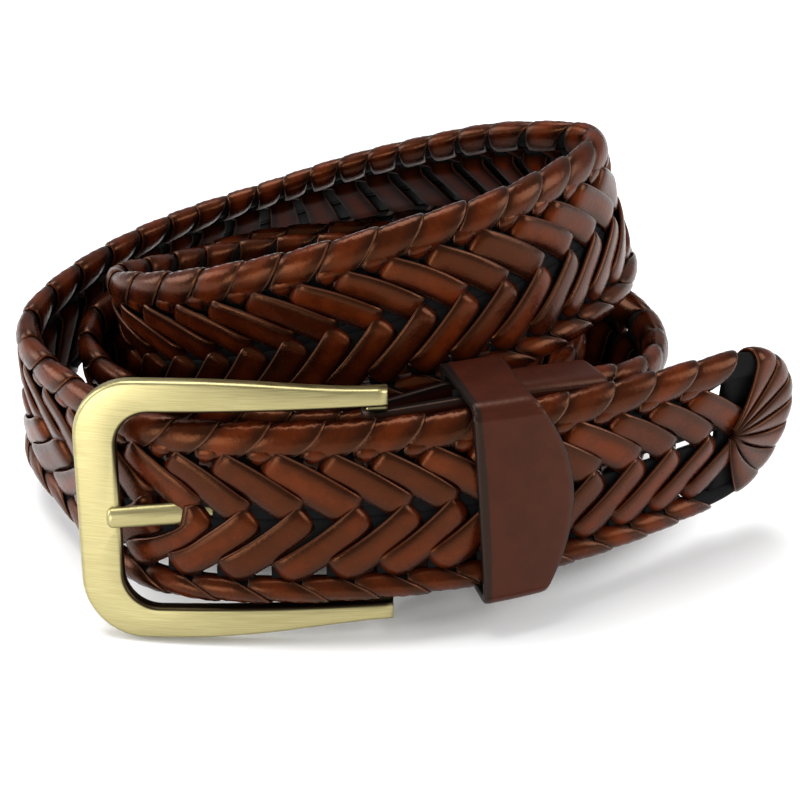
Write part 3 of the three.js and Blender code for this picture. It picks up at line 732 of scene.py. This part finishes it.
def tipPiece(settings, flat=10, rolled=20):
    lines = settings["count"]
    middle = np.radians(np.linspace(settings["first"], settings["last"], lines))
    part = np.concatenate([np.linspace(0, 1, flat, endpoint=False), np.ones(rolled)])
    angle = np.radians(np.concatenate([np.zeros(flat), np.linspace(0, settings["rolled"], rolled)]))
    sweep = math.radians(settings["sweep"]) * (part - 1 + angle / angle[-1])
    w = lacePart[:, 0][None, None]
    lift = lacePart[:, 1][None, None] * settings["halfThick"]
    wide = settings["startWide"] + (1 - settings["startWide"]) * part[None, :, None]
    direction = middle[:, None, None] + sweep[None, :, None] + w * math.radians(settings["halfTurn"]) * wide
    rim = tipRim(direction, settings["centre"]) - settings["high"] - settings["halfThick"]
    rise = settings["rise"] * (1 - part)[None, :, None]
    turn = angle[None, :, None]
    start = settings["start"]
    reach = start + (rim - start) * part[None, :, None] + (settings["high"] + lift) * np.sin(turn)
    n = (settings["deep"] + rise + lift + settings["shingle"] * w) * np.cos(turn)
    x = settings["centre"] - reach * np.cos(direction)
    v = reach * np.sin(direction) + settings["across"] * (1 - part)[None, :, None]
    placed = onRoute(np.maximum(x, 0).ravel(), v.ravel(), np.broadcast_to(n, x.shape).ravel())
    placed += np.minimum(x, 0).ravel()[:, None] * walkAlong[0]
    return wovenMesh("tip_fan", placed, x.shape)


# Small rounded ends that tuck in below the upper edge
tucks = {
    "from": (1.2, 14.2, 1.5), "to": (2.4, 10.7, 0.7), "halfWide": 2.3, "halfThick": 0.3, "bulge": 0.8,
    "jitter": 0.3, "roundFrom": 0.3,
}


def tuckPiece(settings, stations=14):
    used = turnsFrom(lacing["edgesClear"])
    lines = len(used)
    share = np.linspace(0, 1, stations)
    first, last = np.array(settings["from"]), np.array(settings["to"])
    path = first + (last - first) * share[:, None]
    path[:, 2] += settings["bulge"] * np.sin(share * math.pi)
    centre = np.broadcast_to(path, (lines, stations, 3)).copy()
    jitter = np.array([random.gauss(0, settings["jitter"]) for _ in range(lines)])
    centre[..., 0] += used[:, None] + jitter[:, None]
    forward = unit(np.gradient(centre, axis=1))
    side = np.broadcast_to(np.array([1.0, 0, 0]), centre.shape)
    normal = unit(np.cross(side, forward))
    normal *= np.sign(normal[:, stations // 2, 2])[:, None, None]
    toEnd = np.clip((share - settings["roundFrom"]) / (1 - settings["roundFrom"]), 0, 1)
    rounded = np.sqrt(np.clip(1 - toEnd ** 2, 0.01, 1))
    halfWide = np.broadcast_to(settings["halfWide"] * rounded, (lines, stations))
    return laceMesh("tucks", centre, side, normal, halfWide, settings["halfThick"])


# Black core: two rails and two flat straps, bridged between the eyelets, a plate at the tip, and a seam
# that closes the middle beyond the tip on both sides of the prong. strips: middle across, half height,
# half thickness, squareness, first and last place along the strap. Holes: along and across from the turn
coreStraps = {
    "strips": (
        (15.1, 3.0, 1.7, 2.0, 0, strapLength), (-16.0, 2.1, 1.7, 2.0, 0, strapLength),
        (4.7, 3.8, 0.75, 6.0, 0, strapLength), (-5.7, 4.9, 0.75, 6.0, 0, strapLength),
        (0, 17.0, 0.7, 6.0, 0, 21),
        (0.15, 1.3, 0.6, 4.0, 60, crossFrom - prong["easing"]),
        (0.15, 1.3, 0.6, 4.0, crossTo + prong["easing"], strapLength),
    ),
    "step": 2.5, "ring": 12,
    "upperHole": (2.6, 10.3), "lowerHole": (2.2, -12.5), "holeLong": 3.2, "closed": ((0, 60), (355, 430)),
    "bridgeHigh": 1.7, "bridgeThick": 0.7,
}


def corePiece(settings):
    around = np.linspace(0, 2 * math.pi, settings["ring"], endpoint=False)
    cos, sin = np.cos(around), np.sin(around)
    points, faces, base = [], [], 0
    for middle, halfHigh, halfThick, square, first, last in settings["strips"]:
        s = np.arange(settings["step"], strapLength, settings["step"])
        s = s[(s > first) & (s < last)]
        v = middle + halfHigh * np.sign(cos) * np.abs(cos) ** (2 / square)
        n = halfThick * np.sign(sin) * np.abs(sin) ** (2 / square)
        ss, vv = np.meshgrid(s, v, indexing="ij")
        nn = np.broadcast_to(n, ss.shape)
        points.append(onStrap(ss.ravel(), vv.ravel(), nn.ravel()))
        faces += [tuple(i + base for i in face) for face in gridFaces(1, len(s), settings["ring"])]
        base += ss.size
    corners = [(a, b, c) for a in (0, 1) for b in (-1, 1) for c in (-1, 1)]
    high, thick = settings["bridgeHigh"], settings["bridgeThick"]
    for offset, middle in (settings["upperHole"], settings["lowerHole"]):
        for i in range(1, len(turns) - 1):
            gap = turnGap[i] / lacing["pitch"]
            shut = middle > 0 and any(a < turns[i] < b for a, b in settings["closed"])
            halfHole = 0 if shut else settings["holeLong"] / 2
            first, last = turns[i] + (offset + halfHole) * gap, turns[i + 1] + (offset - halfHole) * gap
            if last > strapLength:
                continue
            long = last - first
            place = np.array([(first + a * long, middle + b * high, c * thick) for a, b, c in corners])
            points.append(onStrap(*place.T))
            faces += [tuple(k + base for k in face) for face in boxFaces]
            base += len(corners)
    return addMesh("core_straps", np.vstack(points), faces, blackCore)


def addStrap():
    made = [
        bandPiece(upperBands), bandPiece(lowerBands),
        wrapPiece("upper_wraps", True, edgeWraps), wrapPiece("lower_wraps", False, edgeWraps),
        barPiece(innerBars), tipPiece(tipFan), tuckPiece(tucks), corePiece(coreStraps),
    ]
    for piece in made:
        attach(piece, "root")
    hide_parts("braided_strap")
    print("strap laced:", len(turns), "turns,", sum(len(piece.data.polygons) for piece in made), "faces")


addStrap()


# Buckle frame: paired outline points as on the part, with a finer rounded section
def buckleOutline(steps=26, cornerSteps=14):
    right = buckle["long"] / 2
    left = -right
    innerLeft = left + buckle["endBar"]
    half = buckle["opening"] / 2
    cornerAt = left + buckle["outerCorner"]

    def armAt(a):
        t = np.clip((a - cornerAt) / (right - cornerAt), 0, 1)
        t = (t * t * (3 - 2 * t)) ** buckle["armTaper"]
        return half + buckle["arm"] + (buckle["armEnd"] - buckle["arm"]) * t

    pairs = []
    for share in np.linspace(0, 1, steps):
        outA = right + (cornerAt - right) * share
        inA = right + (innerLeft + buckle["innerCorner"] - right) * share
        pairs.append(((outA, armAt(outA)), (inA, half)))
    for angle in np.linspace(0, math.pi / 2, cornerSteps)[1:]:
        out = (cornerAt - math.sin(angle) * buckle["outerCorner"],
               half + buckle["arm"] - (1 - math.cos(angle)) * buckle["outerCorner"])
        near = (innerLeft + buckle["innerCorner"] * (1 - math.sin(angle)),
                half - (1 - math.cos(angle)) * buckle["innerCorner"])
        pairs.append((out, near))
    return pairs + [((o[0], -o[1]), (i[0], -i[1])) for o, i in reversed(pairs)]


# Cuts the other mesh out of this one and removes the other
def cutAway(made, other):
    cut = made.modifiers.new("cut", "BOOLEAN")
    cut.object = other
    cut.solver = "EXACT"
    bpy.context.view_layer.update()
    solid = bpy.data.meshes.new_from_object(made.evaluated_get(bpy.context.evaluated_depsgraph_get()))
    made.modifiers.clear()
    made.data = solid
    bpy.data.objects.remove(other)


def addFrame(quarterSteps=5):
    pairs = np.array(buckleOutline())
    half, bevel = buckle["thick"] / 2, buckle["bevel"]
    steps = np.linspace(0, math.pi / 2, quarterSteps)
    rows = []
    for out, near in pairs:
        inward = unit(near - out)
        long = np.linalg.norm(near - out)
        ring = []
        for quarter in range(4):
            for step in steps:
                angle = step + quarter * math.pi / 2
                across = (long / 2 - bevel) * (1 if quarter in (0, 3) else -1) + math.cos(angle) * bevel
                deep = (half - bevel) * (1 if quarter in (0, 1) else -1) + math.sin(angle) * bevel
                place = (out + near) / 2 - inward * across
                ring.append((place[0], place[1], deep))
        rows.append(ring)
    rows = np.array(rows)
    flat = rows.reshape(-1, 3)
    around = np.concatenate([steps + quarter * math.pi / 2 for quarter in range(4)])
    values = {"innerWall": np.tile(np.clip(-np.cos(around), 0, 1), len(rows))}
    made = addMesh("frame", onBuckle(*flat.T), gridFaces(1, *rows.shape[:2]), antiqueBrass, values)
    more = buckle["notchRoom"]
    radii = (prong["thick"] / 2 + more, prong["tipThick"] / 2 + more)
    cutAway(made, rodMesh("notch", *radii, more, antiqueBrass))
    return made


def boxMesh(name, a, h, t, material, edge=0.4):
    corners = np.array([(x, y, z) for x in a for y in h for z in t], float)
    made = addMesh(name, onBuckle(*corners.T), boxFaces, material, smooth=False)
    bevel = made.modifiers.new("bevel", "BEVEL")
    bevel.width = edge / 1000
    bevel.segments = 2
    return made


def rodMesh(name, startRadius, endRadius, beyond, material, sides=32):
    axis = prongEnd - prongStart
    long = np.linalg.norm(axis)
    axis = axis / long
    side = unit(np.cross(axis, buckleUp))
    up = np.cross(side, axis)
    start, point = prong["rodFrom"], 0.001
    rows = [(point, start), (startRadius, start), (startRadius, long * prong["straight"])]
    rows += [(endRadius * share, long - endRadius * back) for share, back in prong["rounding"]]
    rows.append((point, long + beyond))
    angles = np.linspace(0, 2 * math.pi, sides, endpoint=False)
    ring = [math.cos(k) * side + math.sin(k) * prong["tall"] * up for k in angles]
    points = [prongStart + axis * along + radius * spoke for radius, along in rows for spoke in ring]
    return addMesh(name, np.array(points), gridFaces(1, len(rows), sides), material)


def tubeMesh(name, middle, radius, halfLong, material, inner=0.0, edge=0.2, sides=32):
    rows = [(radius - edge, -halfLong), (radius, -halfLong + edge)]
    rows += [(radius, halfLong - edge), (radius - edge, halfLong)]
    if inner:
        rows += [(inner, halfLong), (inner, -halfLong), rows[0]]
    angles = np.linspace(0, 2 * math.pi, sides, endpoint=False)
    ring = [math.cos(k) * buckleRight + math.sin(k) * buckleOut for k in angles]
    points = [middle + buckleUp * along + across * spoke for across, along in rows for spoke in ring]
    return addMesh(name, np.array(points), gridFaces(1, len(rows), sides, capped=not inner), material)


def addBuckle():
    made = addFrame()
    half, lugHigh = buckle["opening"] / 2, buckle["lugHigh"] / 2
    alongBar = (barA - buckle["lugHalf"], barA + buckle["lugHalf"])
    through = (-buckle["barDepth"] - buckle["lugBack"], -buckle["thick"] / 2 + buckle["lugSink"])
    lugs = [boxMesh(name, alongBar, (side * (half - lugHigh), side * (half + lugHigh)), through, antiqueBrass)
            for name, side in (("lug_upper", 1), ("lug_lower", -1))]
    barRadius = buckle["barThick"] / 2
    bar = tubeMesh("bar", barMiddle, barRadius, half + buckle["barBeyond"], antiqueBrass)
    rod = rodMesh("prong_rod", prong["thick"] / 2, prong["tipThick"] / 2, 0, antiqueBrass)
    seat = barRadius + buckle["seat"]
    eye = tubeMesh("prong_eye", prongStart, seat + prong["eye"], prong["thick"] / 2, antiqueBrass, inner=seat)
    for piece in (made, *lugs, bar, rod, eye):
        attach(piece, "root")
    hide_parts("buckle_frame")
    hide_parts("buckle_bar")
    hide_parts("prong")
    print("buckle made")


addBuckle()


# Tab: one strip folded round the bar, slotted for the prong
tab = {
    "thick": 1.7, "inset": 1, "long": 46, "curve": 4, "inside": 3.04, "trim": 0.35, "softEdge": 0.25,
    "pastEnd": 0.3, "foldTo": 85, "slot": 4.8, "slotLong": 12, "slotDeep": 7, "slotAt": 2.0,
}


def addTab():
    toStrap = onRoute(np.array(strapLength), np.array(0.0), np.array(0.0)) - barMiddle
    toStrap = unit(toStrap - toStrap @ buckleUp * buckleUp)
    outward = np.cross(toStrap, buckleUp)
    levels = np.concatenate([[-1], np.linspace(-0.985, 0.985, 25), [1]])
    halfHigh = (strap["width"] - tab["inset"] * 2) / 2
    shares = np.concatenate([[0, 0.02], np.linspace(0.06, 1, 16)])
    radiusIn = buckle["barThick"] / 2 + buckle["seat"]

    def layer(share, side, deep):
        curve = tab["curve"] * levels ** 2 * (1 - share)
        s = (routeLength - tab["long"] + curve) * (1 - share) + (strapLength + tab["pastEnd"]) * share
        return onRoute(s, levels * halfHigh, np.full(len(levels), side * deep))

    def fold(angle, radius):
        return (barMiddle + buckleUp * levels[:, None] * halfHigh - toStrap * math.cos(angle) * radius
                + outward * math.sin(angle) * radius)

    skins = []
    for skin in (1, 0):
        rows = []
        for side in (1, -1):
            half = []
            for k, share in enumerate(shares):
                trim = tab["trim"] if k == 0 else 0
                deep = tab["inside"] + (tab["thick"] - trim if skin else trim)
                half.append(layer(share, side, deep))
            rows.append(half)
        radius = radiusIn + (tab["thick"] if skin else 0)
        bend = [fold(angle, radius) for angle in np.radians(np.linspace(tab["foldTo"], -tab["foldTo"], 15))]
        skins.append(rows[0] + bend + rows[1][::-1])
    outer, inner = (np.array(rows) for rows in skins)
    for end in (0, -1):
        outer[:, end] = outer[:, end] * (1 - tab["softEdge"]) + inner[:, end] * tab["softEdge"]
    ring = np.concatenate([outer, inner[:, ::-1]], axis=1)
    across = np.concatenate([levels, levels[::-1]])
    ends = np.zeros(len(ring))
    ends[[0, -1]] = 1
    value = np.maximum(np.abs(across)[None, :], ends[:, None])
    made = addMesh("tab_leather", ring.reshape(-1, 3), gridFaces(1, len(ring), ring.shape[1]), smoothLeather,
                   {"across": value.ravel()})
    long, high, deep = tab["slotLong"], tab["slot"] / 2, tab["slotDeep"]
    slot = boxMesh("slot", (barA - long, barA + long), (-prong["low"] - high, -prong["low"] + high),
                   (-buckle["barDepth"] - deep, -buckle["barDepth"] + deep), smoothLeather)
    slot.data.transform(Matrix.Translation(Vector(toStrap * tab["slotAt"] / 1000)))
    cutAway(made, slot)
    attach(made, "root")
    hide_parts("buckle_tab")


# Keeper: a loop round both runs
keeper = {
    "wall": 2, "narrow": 12, "front": 18.9, "gap": 0.5, "at": 76.3, "backGap": 2.0, "suedeFrom": 0.7,
    "laceRise": 0.14, "flat": 0.9, "roundOut": 2.4, "roundIn": 0.9, "trim": 0.35, "nextTrim": 0.08,
    "search": 10,
}


def addKeeper():
    frontIn = strap["edgeThick"] / 2 + keeper["laceRise"] + keeper["gap"]
    backIn = frontIn + keeper["backGap"]
    highIn = strap["width"] / 2 + keeper["gap"]
    columns = np.concatenate([[0, 0.02], np.linspace(0.08, 0.92, 12), [0.98, 1]])
    trim = [keeper["trim"], keeper["nextTrim"]]
    lift = np.concatenate([trim, np.zeros(12), trim[::-1]])
    tabNear = walkLength > routeLength - tab["long"] - keeper["search"]
    flat = keeper["flat"]
    angles = np.linspace(0, math.pi / 2, 7)
    corner = [(flat + (1 - flat) * math.sin(angle), 1 - math.cos(angle)) for angle in angles]
    stations = [(True, share, 0) for share in np.linspace(-flat, flat, 25)]
    stations += [(True, share, rounding) for share, rounding in corner]
    stations += [(False, share, rounding) for share, rounding in corner[::-1]]
    stations += [(False, share, 0) for share in np.linspace(flat, -flat, 13)[1:-1]]
    stations += [(False, -share, rounding) for share, rounding in corner]
    stations += [(True, -share, rounding) for share, rounding in corner[::-1]]

    def place(front, share, rounding, skin):
        wall = keeper["wall"] * skin - lift * (1 if skin else -1)
        bulge = (keeper["front"] - keeper["narrow"]) * (1 - share ** 2) if front else 0
        s = keeper["at"] - columns * (keeper["narrow"] + bulge)
        v = share * (highIn + wall)
        depth = (frontIn if front else backIn) + wall - rounding * keeper["roundOut" if skin else "roundIn"]
        if front:
            return onRoute(s, v, depth)
        flatCentre = np.stack([np.interp(s, walkLength, walkCentre[:, i]) for i in (0, 1)], -1)
        spots = np.flatnonzero(tabNear)
        gaps = np.linalg.norm(walkCentre[spots][None, :, :2] - flatCentre[:, None], axis=-1)
        return onRoute(walkLength[spots[gaps.argmin(1)]], v, -depth)

    outer, inner = (np.array([place(*station, skin) for station in stations]) for skin in (1, 0))
    ring = np.concatenate([outer, inner[:, ::-1]], axis=1)
    ring = np.concatenate([ring, ring[:1]], axis=0)
    across = np.concatenate([columns * 2 - 1, (columns * 2 - 1)[::-1]])
    value = np.where(across < -keeper["suedeFrom"], 1, np.abs(across))
    value = np.broadcast_to(value, (len(ring), len(across)))
    faces = gridFaces(1, len(ring), ring.shape[1], capped=False)
    made = addMesh("keeper_loop", ring.reshape(-1, 3), faces, smoothLeather, {"across": value.ravel()})
    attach(made, "root")
    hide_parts("keeper")


# The tab's free end is drawn over the upper edge of the strap as far as the keeper
tabTop = {
    "middle": 14.6, "high": 4.8, "deep": 4.95, "low": 1.2, "lowDeep": 0.8, "square": 4.0, "long": 22,
    "trimDeep": 0.06, "trimHigh": 0.008,
}


def addTabTop(settings, stations=24):
    around = np.linspace(0, math.pi, 25)
    cos, sin = np.cos(around), np.sin(around)
    v = settings["middle"] + settings["high"] * sin ** (2 / settings["square"])
    n = settings["deep"] * np.sign(cos) * np.abs(cos) ** (2 / settings["square"])
    v = np.append(v, [settings["middle"] - settings["low"]] * 2)
    low = settings["deep"] * settings["lowDeep"]
    n = np.append(n, [-low, low])
    share = np.concatenate([[0, 0.015], np.linspace(0.05, 1, stations)])[:, None]
    first = share == 0
    level = v[None, :] / (strap["width"] / 2 - tab["inset"])
    s = routeLength - tab["long"] + tab["curve"] * level ** 2 * (1 - share) + settings["long"] * share
    v = v[None, :] * (1 - settings["trimHigh"] * first)
    n = n[None, :] * (1 - settings["trimDeep"] * first)
    placed = onRoute(s.ravel(), v.ravel(), n.ravel())
    value = np.broadcast_to(np.where(share < 0.02, 1.0, 0.0), s.shape)
    made = addMesh("tab_top", placed, gridFaces(1, *s.shape), smoothLeather, {"across": value.ravel()})
    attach(made, "root")


addTab()
addTabTop(tabTop)
addKeeper()
print("tab and keeper made")


# Floor and light
room = {"floor": (0.95, 0.95, 0.95), "roughness": 0.9, "floorSize": 6.0, "sky": 0.5, "aim": (0, 0, 0.02)}
daylight = {"from": (-0.18, 0.3, 0.9), "strength": 2.6, "spread": 40}
lamps = [
    {"name": "softbox_left", "at": (-0.45, -0.65, 0.16), "size": 0.35, "power": 2.7},
    {"name": "softbox_side", "at": (-0.7, 0.05, 0.3), "size": 0.4, "power": 3.2},
    {"name": "softbox_right", "at": (0.65, -0.15, 0.35), "size": 0.4, "power": 3.0},
]


def addRoom(settings):
    material, tree, shader = newMaterial("paleFloor")
    setInputs(shader, {"Base Color": (*settings["floor"], 1), "Roughness": settings["roughness"]})
    half = settings["floorSize"] / 2
    mesh = bpy.data.meshes.new("floor")
    corners = [(-half, -half, 0), (half, -half, 0), (half, half, 0), (-half, half, 0)]
    mesh.from_pydata(corners, [], [(0, 1, 2, 3)])
    mesh.materials.append(material)
    floor = bpy.data.objects.new("floor", mesh)
    bpy.context.scene.collection.objects.link(floor)
    world = bpy.data.worlds.new("studio")
    bpy.context.scene.world = world
    world.use_nodes = True
    setInputs(world.node_tree.nodes["Background"], {"Color": (1, 1, 1, 1), "Strength": settings["sky"]})
    sun = bpy.data.lights.new("overhead", "SUN")
    sun.energy = daylight["strength"]
    sun.angle = math.radians(daylight["spread"])
    overhead = bpy.data.objects.new("overhead", sun)
    overhead.rotation_euler = Vector(daylight["from"]).to_track_quat("Z", "Y").to_euler()
    bpy.context.scene.collection.objects.link(overhead)
    for lamp in lamps:
        data = bpy.data.lights.new(lamp["name"], "AREA")
        data.size = lamp["size"]
        data.energy = lamp["power"]
        made = bpy.data.objects.new(lamp["name"], data)
        made.location = lamp["at"]
        toBelt = Vector(settings["aim"]) - Vector(lamp["at"])
        made.rotation_euler = toBelt.to_track_quat("-Z", "Y").to_euler()
        bpy.context.scene.collection.objects.link(made)


addRoom(room)
bpy.context.scene.view_settings.view_transform = "Standard"
print("room made")
